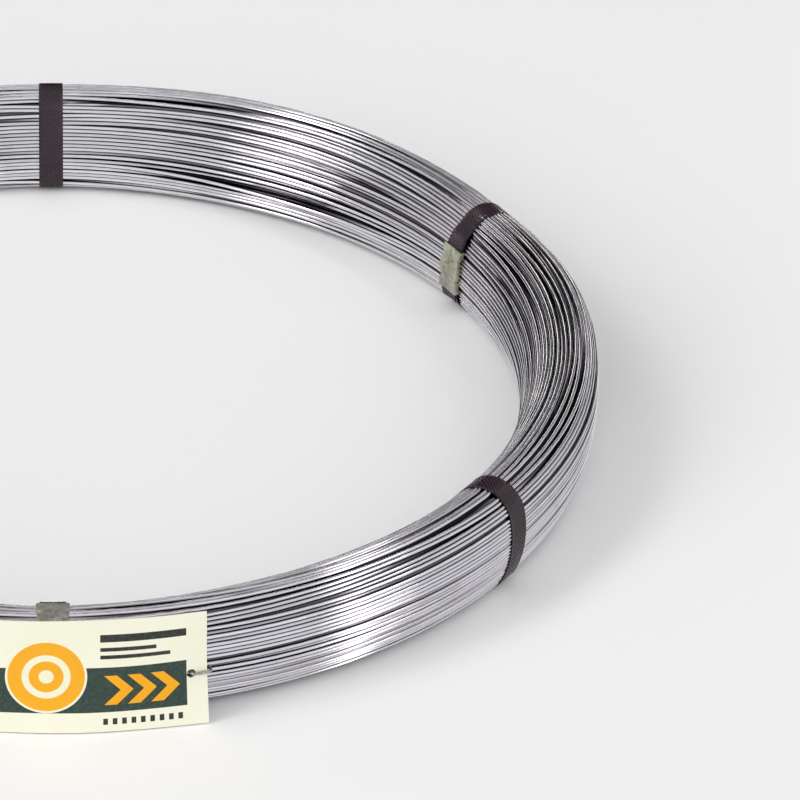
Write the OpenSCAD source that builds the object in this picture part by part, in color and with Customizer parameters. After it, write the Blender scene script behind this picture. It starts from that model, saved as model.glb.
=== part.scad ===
// Coil of galvanised wire, bound by straps with crimped seals, with a label card tied to its front.
// Millimetres. The coil lies flat: its axis is Z, Z = 0 is the floor and the label faces -Y.

/* [Coil] */
// Diameter over the outermost turns
coil_d = 500; // [400:1:650]
// Width of the bundle of turns, from the inside of the coil to its outside
section_w = 36; // [32:0.5:38]
// Height of the bundle of turns
section_h = 49; // [46:0.5:54]
// Diameter of the wire
wire_d = 1.83; // [1.6:0.01:3.2]
// Largest spacing of neighbouring turns, as a share of the wire's diameter
turn_pitch_share = 0.97; // [0.9:0.01:0.98]
// How far the crown of the bundle leans outwards from the middle of the bundle
crown_lean = 2.3; // [0:0.1:3]
// Radius of the crown, as a share of the room between its middle and the outside of the bundle
crown_share = 0.94; // [0.85:0.01:0.97]
// Radius of the two flanks of the bundle
flank_r = 48; // [44:1:70]
// Radius at the edges of the flat foot of the bundle, as a share of half its width
foot_corner_share = 0.38; // [0.3:0.01:0.5]

/* [Straps] */
// Number of straps
strap_n = 6; // [3:1:8]
// Width of a strap
strap_w = 11.5; // [8:0.5:12]
// Thickness of a strap
strap_t = 0.6; // [0.4:0.05:1]
// How far the two ends of a strap reach past its seal
strap_tail = 5; // [2:0.5:8]
// Length over which the outer end of a strap climbs onto the inner end
strap_climb = 9; // [6:0.5:14]

/* [Seals] */
// Length of a seal along its strap
seal_l = 21; // [18:0.5:26]
// Width of a seal
seal_w = 14.5; // [14:0.1:16]
// Thickness of the sheet of a seal
seal_t = 0.5; // [0.3:0.05:0.8]
// Width of the seam between the two lips of a seal
seam_w = 3; // [1:0.5:6]
// Distance between the two crimps of a seal
crimp_pitch = 10; // [8:0.5:12]
// Radius of a crimp
crimp_r = 1.4; // [0.8:0.1:2]

/* [Label] */
// Length of the label card round the coil
label_w = 132; // [90:1:200]
// Height of the label card along its slope
label_h = 53.5; // [44:0.5:60]
// Thickness of the label card
label_t = 0.5; // [0.3:0.05:1]
// Lean of the label card from upright
label_lean = 5; // [2:0.5:8]
// Diameter of the hole at each end of the label card
hole_d = 4; // [3:0.1:6]
// Distance of a hole from the end of the card
hole_inset = 7; // [5:0.5:12]
// Height of a hole below the top of the card, as a share of the card's height
hole_drop_share = 0.55; // [0.4:0.01:0.65]
// Diameter of the wire of a label tie
tie_d = 1.4; // [0.8:0.1:2]

/* [Fits] */
// Gap between a piece and what it rests on
seat_gap = 0.2; // [0.2:0.05:0.3]
// Gap between the plies of a strap, and between them and their seal
ply_gap = 0.1; // [0.1:0.05:0.2]
// Gap between the label card and the floor
floor_gap = 0.5; // [0.3:0.1:2]
// How far a cut runs past what it cuts
cut_over = 1; // [0.5:0.1:2]

/* [Hidden] */
ring_fn = 120;
turn_facets = 6;
small_fn = 32;
strap_steps = 120;
seal_steps = 18;

// Angle of the first strap, which is under the label, and how far each strap was tied from its even place
front_angle = -90;
STRAP_SHIFTS = [0, -5, -1, 0, 0, 0, 0, 0];
// Place of the seal of each strap along the girth of the bundle, as a share from the outer edge of the foot
SEAL_SHARES = [0.37, 0.72, 0.71, 0.2, 0.7, 0.72, 0.7, 0.72];

// Outline of the bundle through the middles of its surface turns: a flat foot, two foot corners,
// two long flanks and a crown that leans outwards, each meeting the next without a break
half_w = section_w / 2 - wire_d / 2;
half_h = section_h / 2 - wire_d / 2;
crown_r = crown_share * (half_w - crown_lean);
corner_r = foot_corner_share * half_w;
side_r = flank_r - wire_d / 2;
side_x = side_r - half_w;
crown_y = half_h - crown_r;
corner_y = half_h - corner_r;
outer_y = crown_y - sqrt(pow(side_r - crown_r, 2) - pow(side_x + crown_lean, 2));
inner_y = crown_y - sqrt(pow(side_r - crown_r, 2) - pow(side_x - crown_lean, 2));
outer_foot = sqrt(pow(side_r - corner_r, 2) - pow(corner_y + outer_y, 2)) - side_x;
inner_foot = side_x - sqrt(pow(side_r - corner_r, 2) - pow(corner_y + inner_y, 2));
outer_low = atan2(-corner_y - outer_y, outer_foot + side_x);
outer_high = atan2(crown_y - outer_y, crown_lean + side_x);
inner_high = atan2(crown_y - inner_y, crown_lean - side_x);
inner_low = 180 + asin((corner_y + inner_y) / (side_r - corner_r));

// Arcs of the outline, from the outer edge of the foot over the crown to the inner edge of the foot:
// middle, radius, first angle, last angle
ARCS = [
    [[outer_foot, -corner_y], corner_r, -90, outer_low],
    [[-side_x, outer_y], side_r, outer_low, outer_high],
    [[crown_lean, crown_y], crown_r, outer_high, inner_high],
    [[side_x, inner_y], side_r, inner_high, inner_low],
    [[inner_foot, -corner_y], corner_r, inner_low, 270]
];
function arc_length(arc) = arc[1] * (arc[3] - arc[2]) * PI / 180;
function arc_start(i) = i == 0 ? 0 : arc_start(i - 1) + arc_length(ARCS[i - 1]);
ARC_STARTS = [for (i = [0 : len(ARCS) - 1]) arc_start(i)];
foot_start = arc_start(len(ARCS));
girth = foot_start + outer_foot - inner_foot;

// Middle of the bundle, from the axis and from the floor
mid_r = coil_d / 2 - section_w / 2;
mid_z = strap_t + seat_gap + section_h / 2;

// Point on the outline at a distance along it, moved outwards by a depth
function wrapped(s) = s - girth * floor(s / girth);
function last_start(u, i = len(ARCS) - 1) = u >= ARC_STARTS[i] ? i : last_start(u, i - 1);
function arc_angle(u, i) = ARCS[i][2] + (u - ARC_STARTS[i]) / ARCS[i][1] * 180 / PI;
function facing(s) = wrapped(s) >= foot_start ? -90 : arc_angle(wrapped(s), last_start(wrapped(s)));
function on_arc(arc, angle, depth) = arc[0] + (arc[1] + depth) * [cos(angle), sin(angle)];
function on_foot(u, depth) = [inner_foot + u - foot_start, -half_h - depth];
function outline(s, depth) =
    wrapped(s) >= foot_start
        ? on_foot(wrapped(s), depth)
        : on_arc(ARCS[last_start(wrapped(s))], facing(s), depth);
function placed(p) = [mid_r + p[0], mid_z + p[1]];

// Turns that show on the outline: each is a round drawn with a few facets, down to the crease
// by its neighbour
turns = ceil(girth / (turn_pitch_share * wire_d));
turn_pitch = girth / turns;
open_angle = asin(turn_pitch / wire_d);
crease_depth = wire_d / 2 * cos(open_angle);
function on_round(i, k) =
    let (angle = facing(i * turn_pitch) + open_angle * (2 * k / turn_facets - 1))
        outline(i * turn_pitch, 0) + wire_d / 2 * [cos(angle), sin(angle)];
function crease(i) = outline((i + 0.5) * turn_pitch, crease_depth);
function turn_points(i) =
    concat([for (k = [1 : turn_facets - 1]) placed(on_round(i, k))], [placed(crease(i))]);

// Depths outside the middles of the surface turns
seat_depth = wire_d / 2 + seat_gap;
seal_lift = seal_t + ply_gap;
ply_lift = seal_lift + strap_t + ply_gap;
sleeve_floor = seat_depth + seal_t;
sleeve_roof = seat_depth + ply_lift + strap_t + ply_gap;
sleeve_w = seal_w - 2 * seal_t;
ply_half = seal_l / 2 + strap_tail;

// Lift of a strap off its seat at a distance past the middle of its seal
function clamped(u) = min(max(u, 0), 1);
function lift_after(x) = seal_lift * clamped(1 - (x - seal_l / 2) / strap_climb);
function lift_before(x) = ply_lift * clamped(1 - (girth - ply_half - x) / strap_climb);
function strap_lift(x) = x < girth / 2 ? lift_after(x) : lift_before(x);
function strap_x(k) = -ply_half + (girth + 2 * ply_half) * k / strap_steps;
function strap_side(i, t) = [
    for (k = [0 : strap_steps])
        placed(outline(seal_s(i) + strap_x(k), seat_depth + strap_lift(strap_x(k)) + t))
];
function reversed(list) = [for (k = [len(list) - 1 : -1 : 0]) list[k]];
function strap_angle(i) = front_angle + 360 / strap_n * i + STRAP_SHIFTS[i];
function seal_s(i) = SEAL_SHARES[i] * girth;

// Outline of a stretch of sheet that follows the bundle between two depths, about the middle of a seal
function stretch_side(i, half, depth) = [
    for (k = [0 : seal_steps])
        placed(outline(seal_s(i) + half * (2 * k / seal_steps - 1), depth))
];
function stretch(i, half, low, high) =
    concat(stretch_side(i, half, low), reversed(stretch_side(i, half, high)));

// Label card: its back leans on the seal under it and its lower edge is just off the floor
card_stand = sleeve_roof + seal_t + seat_gap - wire_d / 2;
card_d = side_r + wire_d / 2 + card_stand;
card_low = (mid_z + outer_y + card_d * sin(label_lean) - floor_gap) / cos(label_lean);
card_high = card_low - label_h;
hole_s = card_high + hole_drop_share * label_h;
function card_point(d, s) = [
    mid_r - side_x + d * cos(label_lean) + s * sin(label_lean),
    mid_z + outer_y + d * sin(label_lean) - s * cos(label_lean)
];
card_r = card_point(card_d, card_low - label_h / 2)[0];
hole_r = card_point(card_d, hole_s)[0];
card_half_angle = label_w / 2 / card_r * 180 / PI;
hole_angle = card_half_angle - hole_inset / hole_r * 180 / PI;

// Label tie: one leg through the hole, a bridge over the card and one leg past the end of the card,
// bent so that neither bend touches the card
tie_bend_r = hole_d / 2 - seat_gap;
leg_spacing = hole_inset + tie_bend_r + seat_gap;
tie_angle = hole_angle + leg_spacing / 2 / hole_r * 180 / PI;
bend_d = card_d + label_t + seat_gap + tie_d / 2 - tie_bend_r;
leg_l = bend_d - sqrt(pow(side_r + seat_depth, 2) - pow(hole_s - tie_d / 2, 2));
bridge_l = leg_spacing - 2 * tie_bend_r;

module on_strap(i) {
    rotate([0, 0, strap_angle(i)])
        rotate([90, 0, 0])
            children();
}

module at_card(angle) {
    rotate([0, 0, front_angle + angle])
        translate([mid_r - side_x, 0, mid_z + outer_y])
            rotate([0, -label_lean, 0])
                translate([0, 0, -hole_s])
                    children();
}

// The bundle of turns is one turned solid; the turns on its surface show as rounds
module wire_coil() {
    color([0.62, 0.62, 0.64])
        rotate_extrude($fn = ring_fn)
            polygon([for (i = [0 : turns - 1]) each turn_points(i)]);
}

// A strap is one open band whose two ends lie on each other inside its seal
module strap(i) {
    color([0.10, 0.08, 0.09])
        on_strap(i)
            linear_extrude(strap_w, center = true)
                polygon(concat(strap_side(i, 0), reversed(strap_side(i, strap_t))));
}

// Rounds that bite the two edges of a seal where it was crimped
module crimps(i) {
    for (end = [-1, 1], edge = [-1, 1]) {
        s = seal_s(i) + end * crimp_pitch / 2;
        p = placed(outline(s, seat_depth));
        translate([p[0], p[1], edge * seal_w / 2])
            rotate([0, 0, facing(s)])
                rotate([0, 90, 0])
                    translate([0, 0, -cut_over])
                        cylinder(h = sleeve_roof + cut_over, r = crimp_r, $fn = small_fn);
    }
}

// A seal is a sleeve of sheet folded round both ends of the strap, with its seam against the turns
module seal(i) {
    color([0.55, 0.56, 0.50])
        on_strap(i)
            difference() {
                linear_extrude(seal_w, center = true)
                    polygon(stretch(i, seal_l / 2, seat_depth, sleeve_roof + seal_t));
                linear_extrude(sleeve_w, center = true)
                    polygon(stretch(i, seal_l / 2 + cut_over, sleeve_floor, sleeve_roof));
                linear_extrude(seam_w, center = true)
                    polygon(stretch(i, seal_l / 2 + cut_over, 0, sleeve_floor + ply_gap));
                crimps(i);
            }
}

module label_card() {
    color([0.95, 0.93, 0.80])
        difference() {
            rotate([0, 0, front_angle - card_half_angle])
                rotate_extrude(angle = 2 * card_half_angle, $fn = ring_fn)
                    polygon([
                        card_point(card_d, card_low),
                        card_point(card_d + label_t, card_low),
                        card_point(card_d + label_t, card_high),
                        card_point(card_d, card_high)
                    ]);
            for (side = [-1, 1])
                at_card(side * hole_angle)
                    translate([card_d - cut_over, 0, 0])
                        rotate([0, 90, 0])
                            cylinder(h = label_t + 2 * cut_over, d = hole_d, $fn = small_fn);
        }
}

// One bend and one leg of a label tie, from the middle between its two bends
module tie_arm() {
    translate([0, bridge_l / 2, 0])
        rotate_extrude(angle = 90, $fn = small_fn)
            translate([tie_bend_r, 0])
                circle(d = tie_d, $fn = small_fn);
    translate([-leg_l, leg_spacing / 2, 0])
        rotate([0, 90, 0])
            cylinder(h = leg_l, d = tie_d, $fn = small_fn);
}

module label_tie(side) {
    color([0.50, 0.50, 0.50])
        at_card(side * tie_angle)
            translate([bend_d, 0, 0]) {
                translate([tie_bend_r, 0, 0])
                    rotate([90, 0, 0])
                        cylinder(h = bridge_l, d = tie_d, center = true, $fn = small_fn);
                tie_arm();
                mirror([0, 1, 0])
                    tie_arm();
            }
}

wire_coil();
for (i = [0 : strap_n - 1])
    strap(i);
for (i = [0 : strap_n - 1])
    seal(i);
label_card();
label_tie(-1);  // label_tie_left
label_tie(1);  // label_tie_right
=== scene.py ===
import math

import bpy
import numpy as np
from mathutils import Euler, Matrix, Vector


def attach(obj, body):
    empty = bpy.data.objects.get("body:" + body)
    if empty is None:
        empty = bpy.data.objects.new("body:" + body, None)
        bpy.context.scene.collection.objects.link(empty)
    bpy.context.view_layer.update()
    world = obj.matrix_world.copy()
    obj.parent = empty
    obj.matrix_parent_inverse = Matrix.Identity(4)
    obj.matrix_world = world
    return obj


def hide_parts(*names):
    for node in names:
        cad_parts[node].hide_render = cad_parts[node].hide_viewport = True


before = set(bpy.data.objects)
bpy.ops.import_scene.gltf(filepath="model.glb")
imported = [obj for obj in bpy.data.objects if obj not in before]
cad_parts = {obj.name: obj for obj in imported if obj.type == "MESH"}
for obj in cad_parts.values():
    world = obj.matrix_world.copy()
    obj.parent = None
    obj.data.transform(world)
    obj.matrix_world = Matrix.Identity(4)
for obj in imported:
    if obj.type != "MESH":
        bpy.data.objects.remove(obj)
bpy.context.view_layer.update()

# Sizes of the solids, in millimetres
COIL_R = 250.0
SECTION_W = 36.0
SECTION_H = 49.0
WIRE_D = 1.83
CROWN_LEAN = 2.3
CROWN_SHARE = 0.94
FLANK_R = 48.0
FOOT_CORNER_SHARE = 0.38
STRAP_W = 11.5
STRAP_T = 0.6
STRAP_TAIL = 5.0
STRAP_CLIMB = 9.0
SEAL_L = 21.0
SEAL_W = 14.5
SEAL_T = 0.5
SEAM_W = 3.0
CRIMP_PITCH = 10.0
LABEL_W = 132.0
LABEL_H = 53.5
LABEL_T = 0.5
LABEL_LEAN = math.radians(5)
HOLE_D = 4.0
HOLE_INSET = 7.0
HOLE_DROP_SHARE = 0.55
SEAT_GAP = 0.2
PLY_GAP = 0.1
FLOOR_GAP = 0.5
STRAP_ANGLES = [-90.0, -35.0, 29.0, 90.0, 150.0, 210.0]
# Place of each seal along the girth of the bundle; the first sits a little nearer the crown than its solid
SEAL_SHARES = [0.38, 0.72, 0.71, 0.2, 0.7, 0.72]

MM = 0.001
WIRE_R = WIRE_D / 2
MID_R = COIL_R - SECTION_W / 2
MID_Z = STRAP_T + SEAT_GAP + SECTION_H / 2

# Outline of the bundle through the middles of its surface turns: corner, flank, crown, flank, corner
HALF_W = SECTION_W / 2 - WIRE_R
HALF_H = SECTION_H / 2 - WIRE_R
CROWN_R = CROWN_SHARE * (HALF_W - CROWN_LEAN)
CORNER_R = FOOT_CORNER_SHARE * HALF_W
SIDE_R = FLANK_R - WIRE_R
SIDE_X = SIDE_R - HALF_W
CROWN_Y = HALF_H - CROWN_R
CORNER_Y = HALF_H - CORNER_R
OUTER_Y = CROWN_Y - math.sqrt((SIDE_R - CROWN_R) ** 2 - (SIDE_X + CROWN_LEAN) ** 2)
INNER_Y = CROWN_Y - math.sqrt((SIDE_R - CROWN_R) ** 2 - (SIDE_X - CROWN_LEAN) ** 2)
OUTER_FOOT = math.sqrt((SIDE_R - CORNER_R) ** 2 - (CORNER_Y + OUTER_Y) ** 2) - SIDE_X
INNER_FOOT = SIDE_X - math.sqrt((SIDE_R - CORNER_R) ** 2 - (CORNER_Y + INNER_Y) ** 2)
OUTER_LOW = math.atan2(-CORNER_Y - OUTER_Y, OUTER_FOOT + SIDE_X)
OUTER_HIGH = math.atan2(CROWN_Y - OUTER_Y, CROWN_LEAN + SIDE_X)
INNER_HIGH = math.atan2(CROWN_Y - INNER_Y, CROWN_LEAN - SIDE_X)
INNER_LOW = 2 * math.pi + math.atan2(-CORNER_Y - INNER_Y, INNER_FOOT - SIDE_X)
ARCS = [
    (OUTER_FOOT, -CORNER_Y, CORNER_R, -math.pi / 2, OUTER_LOW),
    (-SIDE_X, OUTER_Y, SIDE_R, OUTER_LOW, OUTER_HIGH),
    (CROWN_LEAN, CROWN_Y, CROWN_R, OUTER_HIGH, INNER_HIGH),
    (SIDE_X, INNER_Y, SIDE_R, INNER_HIGH, INNER_LOW),
    (INNER_FOOT, -CORNER_Y, CORNER_R, INNER_LOW, 1.5 * math.pi),
]
ARC_ENDS = np.cumsum([r * (last - first) for _, _, r, first, last in ARCS])
GIRTH = float(ARC_ENDS[-1]) + OUTER_FOOT - INNER_FOOT


def outline(s, depth):
    """Point of the section at a distance along its outline, moved out by a depth."""
    u = s % GIRTH
    start = 0.0
    for (x, y, r, first, _), end in zip(ARCS, ARC_ENDS):
        if u < end:
            a = first + (u - start) / r
            return x + (r + depth) * math.cos(a), y + (r + depth) * math.sin(a)
        start = end
    return INNER_FOOT + u - start, -HALF_H - depth


OUTLINE_STEPS = 480
outline_points = np.array([outline(GIRTH * k / OUTLINE_STEPS, 0.0) for k in range(OUTLINE_STEPS)])
outline_phi = np.arctan2(outline_points[:, 1], outline_points[:, 0])
outline_order = np.argsort(outline_phi)
OUTLINE_PHI = outline_phi[outline_order]
OUTLINE_RHO = np.hypot(outline_points[:, 0], outline_points[:, 1])[outline_order]


def outline_rho(phi):
    """Distance of the outline from the middle of the section, in a direction."""
    return np.interp(phi, OUTLINE_PHI, OUTLINE_RHO, period=2 * np.pi)


# How far the bundle stands out from the turned outline: angle in degrees, then outside, inside and top
SWELLS = [
    (-90.0, 0.0, -0.3, 0.0), (-62.5, 0.7, -0.3, 0.2),
    (-35.0, -0.2, -0.2, 0.0), (-3.0, -1.2, 1.4, 0.3), (14.0, 1.6, 1.2, 1.0),
    (29.0, -1.4, -0.3, -1.0), (59.5, 0.9, 2.7, 0.7),
    (90.0, -1.9, -0.8, -1.7), (120.0, 0.9, 1.3, 0.4),
    (150.0, -1.3, -0.6, -1.0), (180.0, 1.0, 1.2, 0.3),
    (210.0, -1.3, -0.6, -1.0), (240.0, 0.9, 0.8, 0.3),
]
# How far each strap is drawn into the bundle right under it, outside, inside and on top
PINCHES = [
    (0.0, 0.0, -1.5), (-0.3, 0.0, -0.3), (-1.2, 0.0, -1.0),
    (0.0, 0.0, 0.0), (0.0, 0.0, 0.0), (0.0, 0.0, 0.0),
]
PINCH_SPREAD = math.radians(4.5)


def swell_at(theta, phi):
    """How far the bundle stands out at an angle round the coil, in a direction across its section."""
    rows = np.array(SWELLS + SWELLS[:1])
    knots = np.radians(rows[:, 0])
    knots[-1] += 2 * np.pi
    t = (np.asarray(theta) - knots[0]) % (2 * np.pi) + knots[0]
    k = np.clip(np.searchsorted(knots, t, side="right") - 1, 0, len(knots) - 2)
    u = (t - knots[k]) / (knots[k + 1] - knots[k])
    u = u * u * (3 - 2 * u)
    out, into, top = [rows[k, a] * (1 - u) + rows[k + 1, a] * u for a in (1, 2, 3)]
    for angle, pinch in zip(STRAP_ANGLES, PINCHES):
        off = (t - math.radians(angle) + np.pi) % (2 * np.pi) - np.pi
        near = np.exp(-(off / PINCH_SPREAD) ** 2)
        out = out + pinch[0] * near
        into = into + pinch[1] * near
        top = top + pinch[2] * near
    across = np.where(np.cos(phi) > 0, out, into)
    return across * np.cos(phi) ** 2 + top * np.maximum(np.sin(phi), 0) ** 2


def swollen(p, theta):
    """A point of the section, moved out with the bundle at an angle round the coil."""
    phi = math.atan2(p[1], p[0])
    f = 1 + float(swell_at(theta, phi)) / math.hypot(p[0], p[1])
    return p[0] * f, p[1] * f


# Meshes
UV_UNIT = 10.0


def mesh_piece(name, verts, faces, uvs=None, smooth=True, **values):
    """A mesh from points in millimetres, faces of one kind, a UV for each point and named values."""
    me = bpy.data.meshes.new(name)
    faces = np.asarray(faces, dtype=np.int32)
    me.vertices.add(len(verts))
    me.vertices.foreach_set("co", (np.asarray(verts, dtype=np.float32) * MM).ravel())
    me.loops.add(faces.size)
    me.loops.foreach_set("vertex_index", faces.ravel())
    me.polygons.add(len(faces))
    me.polygons.foreach_set("loop_start", np.arange(0, faces.size, faces.shape[1], dtype=np.int32))
    me.polygons.foreach_set("use_smooth", np.full(len(faces), smooth))
    if uvs is not None:
        layer = me.uv_layers.new(name="UVMap")
        layer.data.foreach_set("uv", np.asarray(uvs, dtype=np.float32)[faces.ravel()].ravel())
    for key, each in values.items():
        att = me.attributes.new(key, "FLOAT", "POINT")
        att.data.foreach_set("value", np.asarray(each, dtype=np.float32).ravel())
    me.update()
    me.validate()
    obj = bpy.data.objects.new(name, me)
    bpy.context.scene.collection.objects.link(obj)
    return obj


def grid_faces(rows, cols, wrap=False, offset=0):
    """Quads between the points of a grid that is stored row by row."""
    r = np.arange(rows - 1)[:, None]
    c = np.arange(cols if wrap else cols - 1)[None]
    n = (c + 1) % cols
    quads = np.stack([r * cols + c, r * cols + n, (r + 1) * cols + n, (r + 1) * cols + c], -1)
    return quads.reshape(-1, 4) + offset


# The wire: surface turns of one length, pushed apart until they lie beside and on each other
STATIONS = 72
FINE = 2 * STATIONS + 1
SIDES = 8
# Quads that close the end of a tube of eight sides
END_QUADS = np.array([[0, 1, 2, 3], [0, 3, 4, 7], [4, 5, 6, 7]])
TURNS_PER_PIECE = 75
# Depth of each layer of turns, and how full it is
LAYERS = [(0.0, 1.1), (1.72, 0.95), (3.5, 0.66)]
SURFACE_DEPTH = 5.4
CORE_DEPTH = 4.4
CORE_COLS = 60
ROUNDS = 190
LAST_ROUNDS = 14
LOOK_EVERY = 8
NEAR = WIRE_D * 1.55
APART = WIRE_D * 1.005
TINY = 1e-6
STIFFNESS = 0.35
PUSH_SHARE = 0.42
TURN_JITTER = 0.35
KNOTS_PER_TURN = 4
SPARE_KNOTS = 9
SOFTEN = [0.25, 0.5, 0.25]
DRIFT = 1.2
DEPTH_DRIFT = 0.8
# Stretches of wire that stray over their neighbours: how many, how far, and the knots that they take
WANDERERS = 22
WANDER = (4.0, 8.0)
WANDER_FROM = 3
WANDER_TO = 6
WANDER_ROOM = 12


def started_turns(rng):
    """Rings of turns from the surface inwards, each followed round the outline and made to drift."""
    places = []
    for depth, share in LAYERS:
        count = int((GIRTH - 2 * math.pi * depth) / WIRE_D * share)
        jitter = rng.uniform(-TURN_JITTER, TURN_JITTER, count)
        places += [outline((i + jitter[i]) / count * GIRTH, -depth) for i in range(count)]
    turns = len(places)
    places = np.array(places)
    along_wire = np.arange(turns * STATIONS) / STATIONS
    ends = np.arange(turns + 1)
    columns = [np.append(places[:, a], places[-1, a]) for a in (0, 1)]
    path = np.stack([np.interp(along_wire, ends, column) for column in columns], 1)
    knots = turns * KNOTS_PER_TURN + SPARE_KNOTS
    at = np.linspace(0, turns, knots)
    drift = np.convolve(rng.normal(0, DRIFT, knots), SOFTEN, "same")
    rise = np.convolve(rng.normal(0, DEPTH_DRIFT, knots), SOFTEN, "same")
    for w in rng.choice(knots - WANDER_ROOM, WANDERERS, replace=False):
        stray = slice(w + WANDER_FROM, w + WANDER_TO)
        drift[stray] += rng.choice([-1, 1]) * rng.uniform(*WANDER)
        rise[stray] += WIRE_R
    drift = np.interp(along_wire, at, drift)
    rise = np.interp(along_wire, at, rise)
    phi = np.arctan2(path[:, 1], path[:, 0])
    rho = np.hypot(path[:, 0], path[:, 1])
    moved = phi + drift / rho
    rho = rho + outline_rho(moved) - outline_rho(phi) + rise
    return turns, np.stack([rho * np.cos(moved), rho * np.sin(moved)], 1)


def relaxed_turns(seed):
    """Middles of the turns across the section at each station, pushed apart and kept in the bundle."""
    turns, path = started_turns(np.random.default_rng(seed))
    n = turns * STATIONS
    theta = 2 * np.pi * (np.arange(n) % STATIONS) / STATIONS
    groups = np.arange(n).reshape(turns, STATIONS)
    for it in range(ROUNDS):
        if it % LOOK_EVERY == 0:
            first, second = [], []
            for m in range(STATIONS):
                g = groups[:, m]
                d = path[g][:, None] - path[g][None]
                a, b = np.nonzero(np.triu((d ** 2).sum(-1) < NEAR ** 2, 1))
                first.append(g[a])
                second.append(g[b])
            first, second = np.concatenate(first), np.concatenate(second)
        d = path[first] - path[second]
        q = np.hypot(d[:, 0], d[:, 1]) + TINY
        push = d / q[:, None] * (np.maximum(APART - q, 0) * PUSH_SHARE)[:, None]
        for a in (0, 1):
            path[:, a] += np.bincount(first, push[:, a], n) - np.bincount(second, push[:, a], n)
        if it < ROUNDS - LAST_ROUNDS:
            # each point is drawn to the cubic through the two points before it and the two after it
            straight = path.copy()
            straight[2:-2] = (-path[:-4] + 4 * path[1:-3] + 4 * path[3:-1] - path[4:]) / 6
            path += STIFFNESS * (straight - path)
        phi = np.arctan2(path[:, 1], path[:, 0])
        rho = np.hypot(path[:, 0], path[:, 1])
        limit = outline_rho(phi) + swell_at(theta, phi)
        path *= (np.clip(rho, limit - SURFACE_DEPTH, limit) / rho)[:, None]
    return path.reshape(turns, STATIONS, 2)


def fine_turns(turns):
    """The same at twice the stations, with the last point of each turn shared with the next turn."""
    flat = turns.reshape(-1, 2)
    pad = np.concatenate([flat[:1], flat, flat[-1:], flat[-1:]])
    # halfway along the cubic through four points in a row
    half = (-pad[:-3] + 9 * pad[1:-2] + 9 * pad[2:-1] - pad[3:]) / 16
    fine = np.stack([flat, half], 1).reshape(len(turns), 2 * STATIONS, 2)
    last = np.concatenate([fine[1:, 0], fine[-1:, -1]])
    return np.concatenate([fine, last[:, None]], 1)


THETA = np.linspace(0, 2 * np.pi, FINE)
BINS = 88


def standing(points, theta):
    """Distance by which points of the section stand out of the outline, and their place round it."""
    phi = np.arctan2(points[..., 1], points[..., 0])
    rho = np.hypot(points[..., 0], points[..., 1])
    place = np.floor((phi + np.pi) / (2 * np.pi) * BINS).astype(int) % BINS
    return rho - outline_rho(phi) - swell_at(theta, phi), place


def crevices(section, points):
    """How far each point of the tubes lies below the turns that stand out most near it."""
    theta = np.broadcast_to(THETA, section.shape[:2])
    excess, place = standing(section, theta)
    top = np.full((FINE, BINS), -SURFACE_DEPTH)
    np.maximum.at(top, (np.broadcast_to(np.arange(FINE), place.shape), place), excess)
    top = np.maximum(top, np.maximum(np.roll(top, 1, 1), np.roll(top, -1, 1)))
    flat = np.stack([np.hypot(points[..., 0], points[..., 1]) - MID_R, points[..., 2] - MID_Z], -1)
    out, place = standing(flat, np.broadcast_to(THETA[None, :, None], flat.shape[:3]))
    station = np.broadcast_to(np.arange(FINE)[None, :, None], place.shape)
    return top[station, place] + WIRE_R - out


def tube_pieces(turns, seed):
    """Round tubes along the turns, several turns in each piece."""
    rng = np.random.default_rng(seed)
    section = fine_turns(turns)
    r = MID_R + section[..., 0]
    paths = np.stack([r * np.cos(THETA), r * np.sin(THETA), MID_Z + section[..., 1]], -1)
    ahead = np.gradient(paths, axis=1)
    ahead /= np.linalg.norm(ahead, axis=-1, keepdims=True)
    up = np.array([0, 0, 1.0]) - ahead * ahead[..., 2:3]
    up /= np.linalg.norm(up, axis=-1, keepdims=True)
    side = np.cross(ahead, up)
    turn = np.linspace(0, 2 * np.pi, SIDES + 1)
    ring = np.cos(turn)[:, None] * side[..., None, :] + np.sin(turn)[:, None] * up[..., None, :]
    points = paths[:, :, None, :] + WIRE_R * ring
    depth = crevices(section, points)
    tones = rng.uniform(0, 1, len(turns))
    made = []
    for start in range(0, len(turns), TURNS_PER_PIECE):
        block = points[start:start + TURNS_PER_PIECE]
        shape = block.shape[:3]
        per_turn = FINE * (SIDES + 1)
        faces = [grid_faces(FINE, SIDES + 1, offset=i * per_turn) for i in range(len(block))]
        if start == 0:
            faces.append(END_QUADS)
        if start + TURNS_PER_PIECE >= len(turns):
            faces.append(END_QUADS[:, ::-1] + len(block) * per_turn - SIDES - 1)
        u = np.broadcast_to(np.linspace(0, 1, FINE)[None, :, None], shape)
        u = u + np.arange(start, start + len(block))[:, None, None]
        v = np.broadcast_to(turn / (2 * np.pi), shape)
        tone = np.broadcast_to(tones[start:start + len(block), None, None], shape)
        made.append(mesh_piece(
            f"wire_turns_{len(made) + 1}", block.reshape(-1, 3), np.concatenate(faces),
            np.stack([u, v], -1).reshape(-1, 2), tone=tone, crevice=depth[start:start + len(block)]))
    return made


def bundle_core():
    """The turns deep inside the bundle, as a near-black sheet of painted shade seen between the surface
    turns.
    """
    points = []
    for theta in THETA:
        for j in range(CORE_COLS):
            x, y = swollen(outline(GIRTH * j / CORE_COLS, -CORE_DEPTH), theta)
            r = MID_R + x
            points.append((r * math.cos(theta), r * math.sin(theta), MID_Z + y))
    return mesh_piece("wire_core", points, grid_faces(FINE, CORE_COLS, True))


wire_pieces = tube_pieces(relaxed_turns(seed=11), seed=3)
core = bundle_core()


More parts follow.
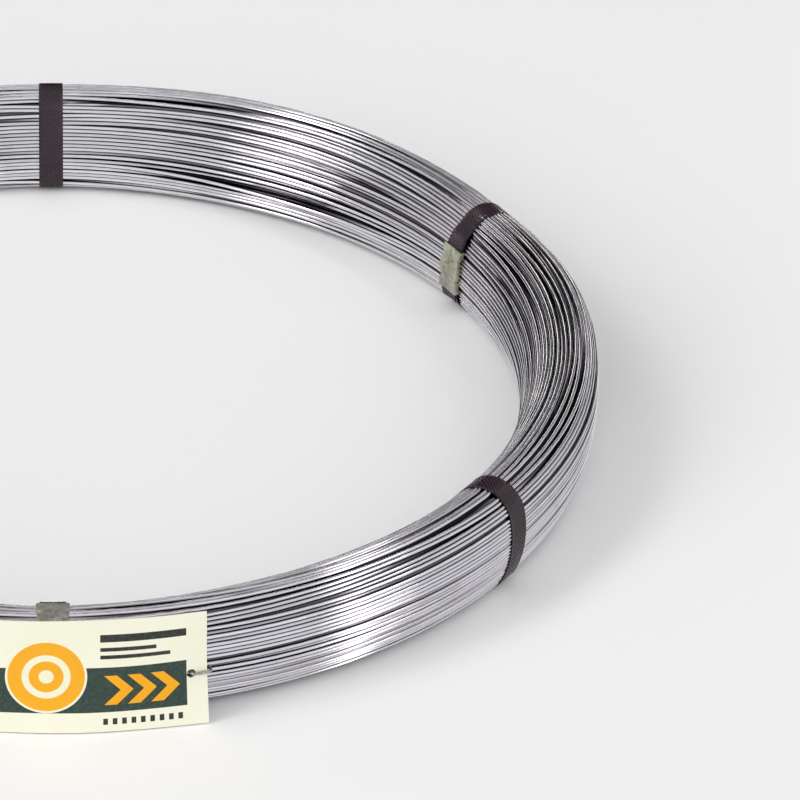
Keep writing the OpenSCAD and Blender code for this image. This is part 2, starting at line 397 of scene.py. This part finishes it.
# Straps, with a diamond pattern pressed into them and drawn tight into the bundle
STRAP_SUNK = 0.2
SEAT = WIRE_R - STRAP_SUNK
SEAL_LIFT = SEAL_T + PLY_GAP
PLY_LIFT = SEAL_LIFT + STRAP_T + PLY_GAP
SLEEVE_ROOF = SEAT + PLY_LIFT + STRAP_T + PLY_GAP
PLY_HALF = SEAL_L / 2 + STRAP_TAIL
STRAP_ROWS = 176
STRAP_COLS = 13
STRAP_EDGE = 0.15
EMBOSS = 0.28
RAG = 0.9
RAG_SEED = 20
# Share of painted shade at the top edges of a strap
EDGE_SHADE = 0.6


def ease(u):
    """A smooth step from 0 to 1."""
    u = min(max(u, 0.0), 1.0)
    return u * u * (3 - 2 * u)


def strap_lift(x):
    """Lift of a strap over the bundle, at a distance from the middle of its seal."""
    if x < GIRTH / 2:
        return SEAL_LIFT * ease(1 - (x - SEAL_L / 2) / STRAP_CLIMB)
    return PLY_LIFT * ease(1 - (GIRTH - PLY_HALF - x) / STRAP_CLIMB)


def strap_point(i, x, across, height):
    """Point over the bundle in the plane of a strap, at a distance from the middle of its seal."""
    angle = math.radians(STRAP_ANGLES[i])
    px, py = swollen(outline(SEAL_SHARES[i] * GIRTH + x, SEAT + height), angle)
    r = MID_R + px
    angle += across / r
    return r * math.cos(angle), r * math.sin(angle), MID_Z + py


def strap_piece(i):
    half = STRAP_W / 2 - STRAP_EDGE
    cols = [half - 2 * half * j / (STRAP_COLS - 1) for j in range(STRAP_COLS)]
    low = [(-half, 0.0), (half, 0.0), (STRAP_W / 2, STRAP_EDGE), (STRAP_W / 2, STRAP_T - STRAP_EDGE)]
    high = [(-STRAP_W / 2, STRAP_T - STRAP_EDGE), (-STRAP_W / 2, STRAP_EDGE)]
    n = len(low) + STRAP_COLS + len(high)
    rags = np.random.default_rng(RAG_SEED + i).uniform(0, RAG, STRAP_COLS)
    points, uvs, pressed = [], [], []
    for k in range(STRAP_ROWS):
        x = -PLY_HALF + (GIRTH + 2 * PLY_HALF) * k / (STRAP_ROWS - 1)
        lift = strap_lift(x)
        cut = rags if k == STRAP_ROWS - 1 else 0 * rags
        peaks = [(k + j) % 2 == 0 or j in (0, STRAP_COLS - 1) for j in range(STRAP_COLS)]
        ring = low + [(w, STRAP_T - (0 if peak else EMBOSS)) for w, peak in zip(cols, peaks)] + high
        points += [strap_point(i, x - np.interp(w, cols[::-1], cut), w, lift + h) for w, h in ring]
        uvs += [(x / UV_UNIT, w / UV_UNIT) for w, _ in ring]
        # painted shade: full in the pressed-in cells and on the sides and underside, partial at the top
        # edges
        shades = [float(not peak) for peak in peaks]
        shades[0] = EDGE_SHADE
        shades[-1] = EDGE_SHADE
        pressed += [1.0] * len(low) + shades + [1.0] * len(high)
    faces = []
    for k in range(STRAP_ROWS - 1):
        for j in range(n):
            a, b = k * n + j, k * n + (j + 1) % n
            c, d = b + n, a + n
            # each square is split between its pressed corners, so that the peaks are diamonds
            if (k + j - len(low)) % 2 == 0:
                faces += [(a, b, d), (b, c, d)]
            else:
                faces += [(a, b, c), (a, c, d)]
    for base, flip in ((0, True), ((STRAP_ROWS - 1) * n, False)):
        for j in range(1, n - 1):
            face = (base, base + j, base + j + 1)
            faces.append(face[::-1] if flip else face)
    return mesh_piece(f"strap_band_{i + 1}", points, faces, uvs, smooth=False, pressed=pressed)


straps = [strap_piece(i) for i in range(len(STRAP_ANGLES))]


# Seals, folded round their straps and dented at their edges
SEAL_HIGH = SLEEVE_ROOF + SEAL_T - SEAT
SEAL_ROWS = 56
SEAL_BEND = 0.8
BEND_STEPS = 6
CRIMP_HALF = 1.25
CRIMP_IN = 1.3
CRIMP_DOWN = 0.42
DENT_FROM = 3.4
DENT_POWER = 1.5
FLARE_L = 1.2
FLARE = 0.22
BUCKLE = 0.10
BUCKLE_TURN = 0.9


def seal_side(inset):
    """Half of the folded sheet across a strap, as across and height over the seat of the seal."""
    middle = SEAL_W / 2 - SEAL_BEND
    points = [(SEAM_W / 2, inset)]
    for y, first in ((SEAL_BEND, -90), (SEAL_HIGH - SEAL_BEND, 0)):
        for k in range(BEND_STEPS):
            a = math.radians(first + 90 * k / (BEND_STEPS - 1))
            r = SEAL_BEND - inset
            points.append((middle + r * math.cos(a), y + r * math.sin(a)))
    return points + [(SEAM_W / 2, SEAL_HIGH - inset)]


def seal_piece(i):
    outer, inner = seal_side(0.0), seal_side(SEAL_T)
    loop = outer + [(0.0, SEAL_HIGH)] + [(-w, h) for w, h in reversed(outer)]
    loop += [(-w, h) for w, h in inner] + [(0.0, SEAL_HIGH - SEAL_T)] + inner[::-1]
    n = len(loop)
    points, uvs = [], []
    for k in range(SEAL_ROWS):
        x = SEAL_L * (k / (SEAL_ROWS - 1) - 0.5)
        crimp = sum(math.exp(-((x - e * CRIMP_PITCH / 2) / CRIMP_HALF) ** 2) for e in (-1, 1))
        flare = max(abs(x) - SEAL_L / 2 + FLARE_L, 0) / FLARE_L
        for w, h in loop:
            edge = min(max((abs(w) - DENT_FROM) / DENT_FROM, 0), 1)
            across = w - math.copysign(CRIMP_IN * crimp * edge ** DENT_POWER, w)
            rise = FLARE * flare - CRIMP_DOWN * crimp * edge
            rise += BUCKLE * math.sin(BUCKLE_TURN * x + i) * (1 - edge)
            points.append(strap_point(i, x, across, h + rise * h / SEAL_HIGH))
            uvs.append((x / UV_UNIT, w / UV_UNIT))
    caps = []
    for base, flip in ((0, True), ((SEAL_ROWS - 1) * n, False)):
        for a in range(n // 2 - 1):
            b = n - 1 - a
            face = [base + a, base + a + 1, base + b - 1, base + b]
            caps.append(face[::-1] if flip else face)
    faces = np.concatenate([grid_faces(SEAL_ROWS, n, True), caps])
    return mesh_piece(f"seal_sleeve_{i + 1}", points, faces, uvs, smooth=False)


seals = [seal_piece(i) for i in range(len(STRAP_ANGLES))]


# Label card, leaning on the outer flank and curved round the coil
CARD_D = SIDE_R + WIRE_R + SEAT_GAP + PLY_LIFT + STRAP_T + PLY_GAP + SEAL_T + SEAT_GAP
CARD_LOW = (MID_Z + OUTER_Y + CARD_D * math.sin(LABEL_LEAN) - FLOOR_GAP) / math.cos(LABEL_LEAN)
CARD_HIGH = CARD_LOW - LABEL_H
HOLE_X = LABEL_W / 2 - HOLE_INSET
HOLE_Y = HOLE_DROP_SHARE * LABEL_H
HOLE_BOX = 3.2
HOLE_STEPS = 6
CARD_COLS = 57
CARD_ROWS_HIGH = 11
CARD_ROWS_LOW = 9
# Height of each wave of the card, and its lengths along the card and down it
WAVES = [(0.28, 19.0, 0.0), (0.18, 9.5, 14.0)]
WAVE_RISE = 0.3
WAVE_SEED = 4
CURL = 0.7
CURL_RISE = 0.5
CURL_POWER = 6
# The back of the card takes its UVs from beyond the print
BACK_UV = 2


def card_point(d, s):
    """Radius and height of a point, from its distance to the middle of the flank's arc and its drop."""
    return (MID_R - SIDE_X + d * math.cos(LABEL_LEAN) + s * math.sin(LABEL_LEAN),
            MID_Z + OUTER_Y + d * math.sin(LABEL_LEAN) - s * math.cos(LABEL_LEAN))


CARD_R = card_point(CARD_D, CARD_LOW - LABEL_H / 2)[0]


def card_sheet():
    """Points of the flat card, as along and down, with a hole near each end, and its quads."""
    edges = {-LABEL_W / 2, LABEL_W / 2}
    edges |= {e * HOLE_X + f * HOLE_BOX for e in (-1, 1) for f in (-1, 1)}
    xs = sorted(edges | set(np.linspace(HOLE_BOX - HOLE_X, HOLE_X - HOLE_BOX, CARD_COLS)))
    ys = sorted(set(np.linspace(0, HOLE_Y - HOLE_BOX, CARD_ROWS_HIGH))
                | set(np.linspace(HOLE_Y + HOLE_BOX, LABEL_H, CARD_ROWS_LOW)))
    index, points, quads = {}, [], []

    def point(x, y):
        key = (round(x, 4), round(y, 4))
        if key not in index:
            index[key] = len(points)
            points.append(key)
        return index[key]

    for x0, x1 in zip(xs, xs[1:]):
        for y0, y1 in zip(ys, ys[1:]):
            beside = abs(abs(x0 + x1) / 2 - HOLE_X) < HOLE_BOX
            if not (beside and abs((y0 + y1) / 2 - HOLE_Y) < HOLE_BOX):
                quads.append((point(x0, y1), point(x1, y1), point(x1, y0), point(x0, y0)))
    corners = [(-1, -1), (1, -1), (1, 1), (-1, 1)]
    square = []
    for (ax, ay), (bx, by) in zip(corners, corners[1:] + corners[:1]):
        for j in range(HOLE_STEPS):
            square.append((ax + (bx - ax) * j / HOLE_STEPS, ay + (by - ay) * j / HOLE_STEPS))
    for middle in (-HOLE_X, HOLE_X):
        rings = []
        for f in (0.0, 0.5, 1.0):
            scale = [HOLE_BOX * (1 - f) + HOLE_D / 2 / math.hypot(x, y) * f for x, y in square]
            rings.append([point(middle + x * k, HOLE_Y + y * k) for (x, y), k in zip(square, scale)])
        for a, b in zip(rings, rings[1:]):
            quads += [(a[j], b[j], b[j - len(a) + 1], a[j - len(a) + 1]) for j in range(len(a))]
    return points, quads


def label_piece():
    flat, quads = card_sheet()
    phases = np.random.default_rng(WAVE_SEED).uniform(0, 2 * math.pi, len(WAVES))

    def place(x, y, d):
        stand = d + WAVE_RISE
        for (height, along, down), phase in zip(WAVES, phases):
            stand += height * math.sin(x / along + (y / down if down else 0) + phase)
        lift = CURL * math.cos(2 * math.pi * y / LABEL_H) + CURL_RISE
        stand += (2 * abs(x) / LABEL_W) ** CURL_POWER * lift
        r, z = card_point(CARD_D + stand, CARD_HIGH + y)
        a = math.radians(STRAP_ANGLES[0]) + x / CARD_R
        return r * math.cos(a), r * math.sin(a), z

    n = len(flat)
    points = [place(x, y, LABEL_T) for x, y in flat] + [place(x, y, 0.0) for x, y in flat]
    uvs = [(x / LABEL_W + 0.5, 1 - y / LABEL_H) for x, y in flat]
    uvs += [(u + BACK_UV, v) for u, v in uvs]
    faces = quads + [tuple(n + v for v in reversed(q)) for q in quads]
    sides = {side for q in quads for side in zip(q, q[1:] + q[:1])}
    faces += [(b, a, n + a, n + b) for a, b in sorted(sides) if (b, a) not in sides]
    return mesh_piece("label_sheet", points, faces, uvs, smooth=False)


label = label_piece()


# Materials: colours, each alone or as the stops of a ramp
ZINC = [(0.2, (0.56, 0.545, 0.58)), (0.5, (0.79, 0.775, 0.815)), (0.8, (0.94, 0.93, 0.96))]
ZINC_DULL = (0.64, 0.63, 0.65)
# Painted shade between the turns: colours that darken the zinc with depth below the turns nearby
GAP_SHADE = [
    (0.1, (1.0, 1.0, 1.0)), (0.28, (0.64, 0.62, 0.65)),
    (0.46, (0.2, 0.19, 0.205)), (0.8, (0.03, 0.028, 0.03)),
]
# Painted shade: near-black colours for the sheet that stands in for the turns deep inside
CORE_PAINTED_SHADE = [(0.3, (0.006, 0.006, 0.007)), (0.7, (0.03, 0.028, 0.032))]
STRAP_FACE = [(0.3, (0.026, 0.010, 0.019)), (0.55, (0.056, 0.023, 0.042)), (0.78, (0.115, 0.055, 0.088))]
# Painted shade for the pressed-in cells, the sides and the underside of the straps
STRAP_PAINTED_SHADE = (0.004, 0.003, 0.003)
SEAL_OLIVE = [(0.3, (0.26, 0.26, 0.175)), (0.52, (0.36, 0.37, 0.27)), (0.72, (0.50, 0.51, 0.41))]
SEAL_GREY = [(0.3, (0.24, 0.215, 0.195)), (0.52, (0.32, 0.295, 0.27)), (0.72, (0.43, 0.40, 0.375))]
SEAL_CAST = [(0.42, (0, 0, 0)), (0.58, (1, 1, 1))]
SEAL_SPECK = (0.07, 0.065, 0.04)
TIE_STEEL = [(0.3, (0.22, 0.20, 0.18)), (0.7, (0.52, 0.50, 0.47))]
CARD_FRESH = (0.90, 0.895, 0.73)
CARD_AGED = (0.83, 0.80, 0.60)
INK_BLACK = (0.030, 0.034, 0.032)
INK_GREEN = (0.030, 0.056, 0.047)
INK_CREAM = (0.90, 0.88, 0.66)
INK_AMBER = (0.92, 0.42, 0.012)
FLOOR_PALE = [(0.3, (0.94, 0.94, 0.94)), (0.7, (0.955, 0.955, 0.955))]

# Streaks along and round a turn, and the share of the turn's own tone in its shade
STREAKS = (46.0, 7.0, 1.0)
TONE_SHARE = 0.32
# Depth below the turns nearby that the stops of the painted gap shade are shares of, and the height of the
# bumps
GAP_DEPTH = 2.0
BUMP_HEIGHT = 0.3

# Print on the card, in millimetres from its lower left corner: boxes, rings round a middle, arrowheads, bars
PANEL = (8.0, 9.5, 123.0, 31.0)
SIGN_MIDDLE = (63.0, 27.0)
DISC_R = 17.4
RINGS = [(10.4, 16.4), (3.2, 7.4)]
ARROW_TIPS = [100.0, 110.0, 120.0]
ARROW_Y = 20.0
ARROW_HALF = 7.0
ARROW_THICK = 5.5
BAR_ROWS = [(43.0, 46.6), (38.6, 40.4), (35.0, 36.8)]
BAR_COLUMNS = [(86.0, (123.0, 110.0, 116.0)), (10.0, (40.0, 34.0, 38.0))]
TICK_BOX = (86.0, 3.4, 123.0, 6.4)
TICK_STEP = 2.0


def new_material(name):
    m = bpy.data.materials.new(name)
    m.use_nodes = True
    t = m.node_tree
    t.nodes.clear()
    out = t.nodes.new("ShaderNodeOutputMaterial")
    bsdf = t.nodes.new("ShaderNodeBsdfPrincipled")
    t.links.new(bsdf.outputs[0], out.inputs[0])
    return m, t, bsdf


def feed(t, socket, value):
    """A socket joined to another, or set to a number or colour."""
    if isinstance(value, bpy.types.NodeSocket):
        t.links.new(value, socket)
    else:
        socket.default_value = value


def node(t, kind, inputs=None, **settings):
    n = t.nodes.new(kind)
    for key, value in settings.items():
        setattr(n, key, value)
    for key, value in (inputs or {}).items():
        feed(t, n.inputs[key], value)
    return n


def math_node(t, op, a, b=0.0, c=0.0, clamp=False):
    return node(t, "ShaderNodeMath", {0: a, 1: b, 2: c}, operation=op, use_clamp=clamp).outputs[0]


def scaled(t, value, gain, offset=0.0, clamp=False):
    return math_node(t, "MULTIPLY_ADD", value, gain, offset, clamp)


def above(t, value, level, gain):
    """How far a value stands over a level, times a gain, from 0 to 1."""
    return scaled(t, value, gain, -level * gain, clamp=True)


def dot(t, vector, axis):
    return node(t, "ShaderNodeVectorMath", {0: vector, 1: axis}, operation="DOT_PRODUCT").outputs["Value"]


def noise(t, vector, scale, detail):
    return node(t, "ShaderNodeTexNoise", {"Vector": vector, "Scale": scale, "Detail": detail}).outputs[0]


def ramp(t, fac, stops):
    n = node(t, "ShaderNodeValToRGB", {0: fac})
    elements = n.color_ramp.elements
    while len(elements) < len(stops):
        elements.new(0.5)
    for element, (position, colour) in zip(elements, stops):
        element.position = position
        element.color = (*colour, 1)
    return n.outputs[0]


def mix_colour(t, fac, a, b, blend="MIX"):
    a, b = [c if isinstance(c, bpy.types.NodeSocket) else (*c, 1) for c in (a, b)]
    return node(t, "ShaderNodeMix", {0: fac, 6: a, 7: b}, data_type="RGBA", blend_type=blend).outputs[2]


def object_place(t):
    return node(t, "ShaderNodeTexCoord").outputs["Object"]


def uv_place(t):
    return node(t, "ShaderNodeUVMap", uv_map="UVMap").outputs[0]


def value_of(t, name):
    return node(t, "ShaderNodeAttribute", attribute_name=name).outputs["Fac"]


def surface(t, bsdf, colour, roughness, metallic=0.0, specular=0.5):
    feed(t, bsdf.inputs["Base Color"], colour)
    feed(t, bsdf.inputs["Roughness"], roughness)
    feed(t, bsdf.inputs["Metallic"], metallic)
    feed(t, bsdf.inputs["Specular IOR Level"], specular)


def bumped(t, bsdf, height, strength):
    bump = node(t, "ShaderNodeBump", {"Height": height, "Strength": strength, "Distance": BUMP_HEIGHT * MM})
    t.links.new(bump.outputs[0], bsdf.inputs["Normal"])


def wire_material():
    """Drawn wire with a zinc coat: streaks along it, dull patches, and painted shade between the turns."""
    m, t, b = new_material("zinc_wire")
    stretch = node(t, "ShaderNodeMapping", {"Vector": uv_place(t), "Scale": STREAKS}).outputs[0]
    streak = noise(t, stretch, scale=2.0, detail=5.0)
    patch = noise(t, object_place(t), scale=75.0, detail=3.0)
    shade = scaled(t, value_of(t, "tone"), TONE_SHARE, scaled(t, streak, 1 - TONE_SHARE))
    zinc = mix_colour(t, above(t, patch, level=0.52, gain=2.2), ramp(t, shade, ZINC), ZINC_DULL)
    # painted shade: the zinc darkens towards near black with depth below the turns nearby
    painted_gap_shade = ramp(t, scaled(t, value_of(t, "crevice"), 1 / GAP_DEPTH), GAP_SHADE)
    colour = mix_colour(t, 1.0, zinc, painted_gap_shade, blend="MULTIPLY")
    surface(t, b, colour, scaled(t, streak, gain=0.13, offset=0.05), metallic=1.0)
    bumped(t, b, streak, strength=0.06)
    return m


def core_material():
    m, t, b = new_material("bundle_inside_painted_shade")
    # painted shade: a near-black ramp in place of the shaded turns deep in the bundle
    grain = noise(t, object_place(t), scale=240.0, detail=2.0)
    surface(t, b, ramp(t, grain, CORE_PAINTED_SHADE), roughness=0.7, specular=0.1)
    return m


def strap_material():
    """Brown-black plastic, with painted shade in its pressed-in cells, at its top edges and on its sides."""
    m, t, b = new_material("strap_plastic_embossed")
    place = object_place(t)
    grain = noise(t, place, scale=420.0, detail=4.0)
    scuff = noise(t, place, scale=60.0, detail=5.0)
    # painted shade: the plastic darkens towards near black in the pressed-in cells, at the edges and on the
    # sides
    pressed = scaled(t, value_of(t, "pressed"), gain=0.95)
    colour = mix_colour(t, pressed, ramp(t, scuff, STRAP_FACE), STRAP_PAINTED_SHADE)
    smooth = scaled(t, scuff, gain=-0.5, offset=0.46)
    surface(t, b, colour, scaled(t, grain, gain=0.12, offset=smooth), specular=0.4)
    bumped(t, b, grain, strength=0.15)
    return m


def seal_material():
    """Zinc-coated sheet, grey-brown to olive, with dull blotches and dark specks."""
    m, t, b = new_material("seal_zinc_sheet")
    place = object_place(t)
    blotch = noise(t, place, scale=190.0, detail=5.0)
    cast = ramp(t, noise(t, place, scale=26.0, detail=2.0), SEAL_CAST)
    sheet = mix_colour(t, cast, ramp(t, blotch, SEAL_OLIVE), ramp(t, blotch, SEAL_GREY))
    specks = above(t, noise(t, place, scale=520.0, detail=3.0), level=0.525, gain=6.0)
    colour = mix_colour(t, scaled(t, specks, gain=0.7), sheet, SEAL_SPECK)
    surface(t, b, colour, scaled(t, blotch, gain=0.3, offset=0.3), metallic=0.45)
    bumped(t, b, blotch, strength=0.25)
    return m


def tie_material():
    m, t, b = new_material("tie_wire_dull")
    grain = noise(t, object_place(t), scale=900.0, detail=4.0)
    surface(t, b, ramp(t, grain, TIE_STEEL), scaled(t, grain, gain=0.3, offset=0.25), metallic=0.9)
    return m


def label_material():
    """Coated card with a dark green panel, amber rings like a coil end-on, arrowheads and plain bars."""
    m, t, b = new_material("label_card_printed")
    sep = node(t, "ShaderNodeSeparateXYZ", {"Vector": uv_place(t)})
    x = scaled(t, sep.outputs[0], LABEL_W)
    y = scaled(t, sep.outputs[1], LABEL_H)
    place = object_place(t)
    fibre = noise(t, place, scale=700.0, detail=5.0)
    stain = noise(t, place, scale=38.0, detail=4.0)

    def both(a, c):
        return math_node(t, "MULTIPLY", a, c)

    def between(v, low, high):
        return both(math_node(t, "GREATER_THAN", v, low), math_node(t, "LESS_THAN", v, high))

    def box(x0, y0, x1, y1):
        return both(between(x, x0, x1), between(y, y0, y1))

    def away(cx, cy):
        dx = math_node(t, "SUBTRACT", x, cx)
        dy = math_node(t, "SUBTRACT", y, cy)
        return math_node(t, "SQRT", math_node(t, "ADD", both(dx, dx), both(dy, dy)))

    def arrowhead(tip):
        dy = math_node(t, "ABSOLUTE", math_node(t, "SUBTRACT", y, ARROW_Y))
        back = math_node(t, "ADD", x, dy)
        return both(between(back, tip - ARROW_THICK, tip), math_node(t, "LESS_THAN", dy, ARROW_HALF))

    def any_of(masks):
        total = masks[0]
        for mask in masks[1:]:
            total = math_node(t, "MAXIMUM", total, mask)
        return total

    sign = away(*SIGN_MIDDLE)
    ticks = math_node(t, "LESS_THAN", math_node(t, "PINGPONG", x, TICK_STEP), TICK_STEP / 2)
    black = [box(x0, y0, x1, y1) for x0, ends in BAR_COLUMNS for (y0, y1), x1 in zip(BAR_ROWS, ends)]
    black.append(both(ticks, box(*TICK_BOX)))
    disc = math_node(t, "LESS_THAN", sign, DISC_R)
    amber = [between(sign, *ring) for ring in RINGS] + [arrowhead(tip) for tip in ARROW_TIPS]
    inks = [
        (any_of(black), INK_BLACK),
        (box(*PANEL), INK_GREEN),
        (disc, INK_CREAM),
        (any_of(amber), INK_AMBER),
    ]
    worn = scaled(t, fibre, gain=-0.12, offset=1.05, clamp=True)
    colour = mix_colour(t, above(t, stain, level=0.45, gain=0.9), CARD_FRESH, CARD_AGED)
    for mask, ink in inks:
        colour = mix_colour(t, both(mask, worn), colour, ink)
    surface(t, b, colour, scaled(t, fibre, gain=0.2, offset=0.38), specular=0.2)
    bumped(t, b, fibre, strength=0.05)
    return m


def dress(obj, material, slot, *nodes):
    obj.data.materials.clear()
    obj.data.materials.append(material)
    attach(obj, "root")
    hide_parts(*nodes)


wire_look = wire_material()
for piece in wire_pieces:
    dress(piece, wire_look, "galvanised_wire", "wire_coil")
dress(core, core_material(), "galvanised_wire", "wire_coil")
strap_look = strap_material()
seal_look = seal_material()
for i, (strap, seal) in enumerate(zip(straps, seals), 1):
    dress(strap, strap_look, "strap_plastic", f"strap_{i}")
    dress(seal, seal_look, "seal_steel", f"seal_{i}")
dress(label, label_material(), "label_card", "label_card")
tie_look = tie_material()
for name in ("label_tie_left", "label_tie_right"):
    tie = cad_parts[name]
    tie.data.materials.clear()
    tie.data.materials.append(tie_look)


# Floor, light and camera
FLOOR_HALF = 9.0
LAMP_W = 0.2
LAMP_AWAY = 2.4
LAMP_POWER = 5.0
LAMP_COLOUR = (1.0, 0.99, 0.96)
# Ways from the coil to the upper and lower end of each lamp
LAMP_LEFT = [(-0.52, 0.129, 0.845), (-0.750, -0.506, 0.426)]
LAMP_RIGHT = [(0.563, 0.130, 0.817), (0.774, -0.563, 0.289)]
WORLD_LIGHT = 0.895
# Light of the sky from the front to the back, and how much less dark its back is aside and on the right
SKY = [
    (0.0, (0.96, 0.96, 0.97)), (0.35, (0.84, 0.84, 0.85)), (0.6, (0.71, 0.71, 0.72)),
    (0.76, (0.24, 0.235, 0.245)), (0.86, (0.035, 0.033, 0.036)), (0.93, (0.01, 0.009, 0.01)),
]
SIDES_OPEN = 0.25
RIGHT_OPEN = 0.1
# Axis of each arch of light, its level along that axis, half its width and its strength
ARC_LEFT = ((-0.840, 0.485, -0.2425), 0.283, 0.125, 8.0)
ARC_RIGHT = ((0.853, 0.5225, 0.0), 0.477, 0.045, 3.6)
# How fast the arches rise from the floor, and how they fade from the front to the back
ARC_RISE = 8.0
ARC_FADE = -2.2
ARC_TOP = 0.4
# Way to the small soft box behind the coil, how far its edge falls short of that way, and its strength
BACK_BOX = ((0.0, 0.858, 0.513), 0.005, 4.6)
# The camera, as fitted to the ring in the photo
CAMERA_AT = (0.0, -2.751307, 1.634109 + MID_Z * MM)
CAMERA_ASIDE = math.radians(3.3054)
CAMERA_DOWN = math.radians(30.874)
CAMERA_ROLL = math.radians(1.4685)
CAMERA_LENS = 316.016
CAMERA_SENSOR = 36.0

scene = bpy.context.scene
scene.view_settings.view_transform = "Standard"


def floor_piece():
    me = bpy.data.meshes.new("floor")
    s = FLOOR_HALF
    me.from_pydata([(-s, -s, 0), (s, -s, 0), (s, s, 0), (-s, s, 0)], [], [(0, 1, 2, 3)])
    obj = bpy.data.objects.new("floor", me)
    scene.collection.objects.link(obj)
    m, t, b = new_material("pale_floor")
    grain = noise(t, object_place(t), scale=3.0, detail=2.0)
    surface(t, b, ramp(t, grain, FLOOR_PALE), roughness=0.9, specular=0.0)
    me.materials.append(m)


def lamp(name, ends):
    """A long soft box that faces the coil, from the ways to its upper and lower end."""
    high, low = [Vector(end).normalized() * LAMP_AWAY for end in ends]
    data = bpy.data.lights.new(name, "AREA")
    data.shape = "RECTANGLE"
    data.size = (high - low).length
    data.size_y = LAMP_W
    data.energy = LAMP_POWER
    data.color = LAMP_COLOUR
    obj = bpy.data.objects.new(name, data)
    along = (high - low).normalized()
    back = (high + low).normalized()
    across = back.cross(along).normalized()
    back = along.cross(across)
    obj.matrix_world = Matrix((along, across, back)).transposed().to_4x4()
    obj.location = (high + low) / 2
    scene.collection.objects.link(obj)


def studio_world():
    """A soft sky, dark towards the back, with an arch of light on each side and a small soft box behind."""
    w = bpy.data.worlds.new("studio")
    scene.world = w
    w.use_nodes = True
    t = w.node_tree
    t.nodes.clear()
    out = t.nodes.new("ShaderNodeOutputWorld")
    bg = t.nodes.new("ShaderNodeBackground")
    t.links.new(bg.outputs[0], out.inputs[0])
    way = node(t, "ShaderNodeTexCoord").outputs["Generated"]
    x, y, z = node(t, "ShaderNodeSeparateXYZ", {"Vector": way}).outputs
    dark_way = scaled(t, math_node(t, "ABSOLUTE", x), -SIDES_OPEN, y)
    dark_way = scaled(t, x, -RIGHT_OPEN, dark_way)
    sky = ramp(t, scaled(t, dark_way, gain=0.5, offset=0.5), SKY)
    axis, edge, strength = BACK_BOX
    near = scaled(t, dot(t, way, axis), 1 / edge, 1 - 1 / edge, clamp=True)
    lit = scaled(t, near, strength)
    risen = scaled(t, z, ARC_RISE, clamp=True)
    front = scaled(t, y, ARC_FADE, ARC_TOP, clamp=True)
    for axis, level, half, strength in (ARC_LEFT, ARC_RIGHT):
        off = math_node(t, "ABSOLUTE", math_node(t, "SUBTRACT", dot(t, way, axis), level))
        arch = math_node(t, "SUBTRACT", 1.0, math_node(t, "DIVIDE", off, half), clamp=True)
        arch = math_node(t, "MULTIPLY", math_node(t, "MULTIPLY", arch, risen), front)
        lit = scaled(t, arch, strength, lit)
    pale = node(t, "ShaderNodeVectorMath", {0: LAMP_COLOUR, "Scale": lit}, operation="SCALE").outputs[0]
    t.links.new(mix_colour(t, 1.0, sky, pale, blend="ADD"), bg.inputs["Color"])
    bg.inputs["Strength"].default_value = WORLD_LIGHT


floor_piece()
lamp("lamp_left", LAMP_LEFT)
lamp("lamp_right", LAMP_RIGHT)
studio_world()

camera = bpy.data.cameras.new("camera")
camera.sensor_fit = "HORIZONTAL"
camera.sensor_width = CAMERA_SENSOR
camera.lens = CAMERA_LENS
camera.clip_end = 4 * FLOOR_HALF
camera_piece = bpy.data.objects.new("camera", camera)
aim = Euler((math.pi / 2 - CAMERA_DOWN, 0, -CAMERA_ASIDE)).to_matrix()
roll = Euler((0, 0, CAMERA_ROLL)).to_matrix()
camera_piece.matrix_world = (aim @ roll).to_4x4()
camera_piece.location = CAMERA_AT
scene.collection.objects.link(camera_piece)
scene.camera = camera_piece
